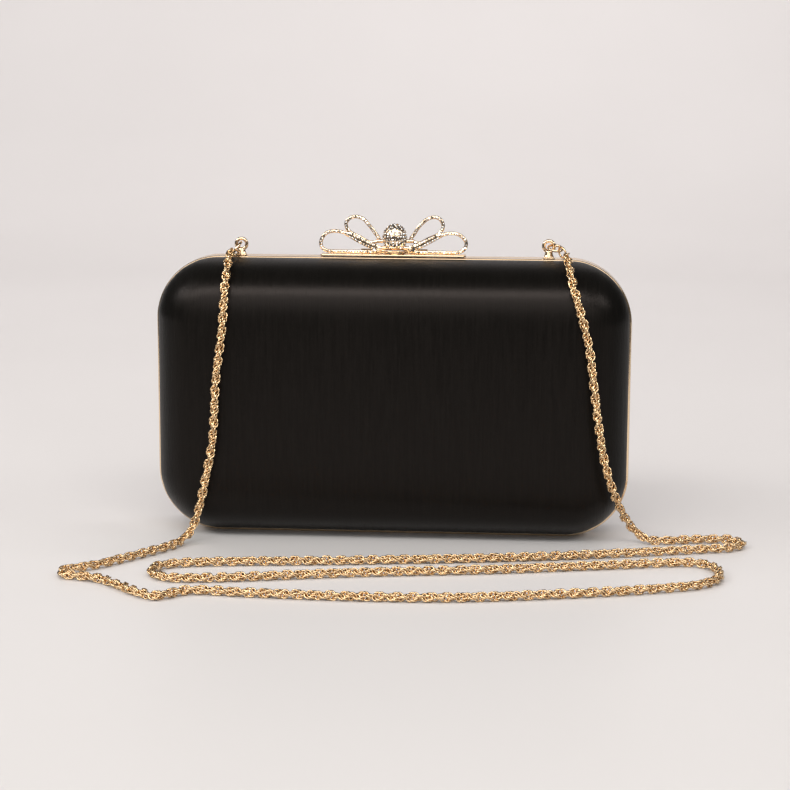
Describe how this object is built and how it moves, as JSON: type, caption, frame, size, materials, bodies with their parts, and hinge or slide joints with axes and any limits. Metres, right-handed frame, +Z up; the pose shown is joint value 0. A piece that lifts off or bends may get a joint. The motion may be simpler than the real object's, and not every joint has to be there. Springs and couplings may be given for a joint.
{
  "type": "evening clutch bag",
  "caption": "Hard-shell evening clutch with satin-covered halves, a metal frame hinged along the bottom, a lifting bow clasp and a rope-chain strap.",
  "frame": {"origin": "middle of the bag's base at the parting plane, the strap left out", "axes": "+Z up, the front faces -Y, +X to the right as seen from the front"},
  "size_m": [0.2738, 0.1508, 0.1352],
  "materials": {
    "satin_black": "satin",
    "gold_metal": "polished pale gold",
    "chain_gold": "polished pale gold",
    "shell_board": "matte",
    "lining_black": "matte"
  },
  "bodies": {
    "front_half": {"front_frame": "gold_metal", "front_cover": "satin_black", "front_shell": "shell_board", "front_lining": "lining_black", "hinge_leaf_front_l": "gold_metal", "hinge_leaf_front_r": "gold_metal", "hinge_pin_l": "gold_metal", "hinge_pin_r": "gold_metal", "clasp_catch": "gold_metal", "lug_l": "gold_metal", "lug_r": "gold_metal", "jump_ring_l": "gold_metal", "jump_ring_r": "gold_metal", "end_ring_l": "chain_gold", "end_ring_r": "chain_gold", "chain_drop_l": "chain_gold", "chain_floor": "chain_gold", "chain_drop_r": "chain_gold"},
    "rear_half": {"rear_frame": "gold_metal", "rear_cover": "satin_black", "rear_shell": "shell_board", "rear_lining": "lining_black", "hinge_leaf_rear_l": "gold_metal", "hinge_leaf_rear_r": "gold_metal", "clasp_ear_l": "gold_metal", "clasp_ear_r": "gold_metal", "clasp_pin": "gold_metal"},
    "clasp": {"clasp_plate": "gold_metal", "bow_base": "gold_metal", "bow_knot": "gold_metal", "bow_loop_lower_l": "gold_metal", "bow_loop_upper_l": "gold_metal", "bow_loop_lower_r": "gold_metal", "bow_loop_upper_r": "gold_metal"}
  },
  "joints": [
    {"name": "frame_hinge", "type": "hinge", "parent": "front_half", "child": "rear_half", "pos_m": [0, 0, 0.0015], "axis": [-1, 0, 0], "range_deg": [0, 78]},
    {"name": "clasp_hinge", "type": "hinge", "parent": "rear_half", "child": "clasp", "pos_m": [0, 0.004, 0.1197], "axis": [-1, 0, 0], "range_deg": [0, 45]}
  ]
}
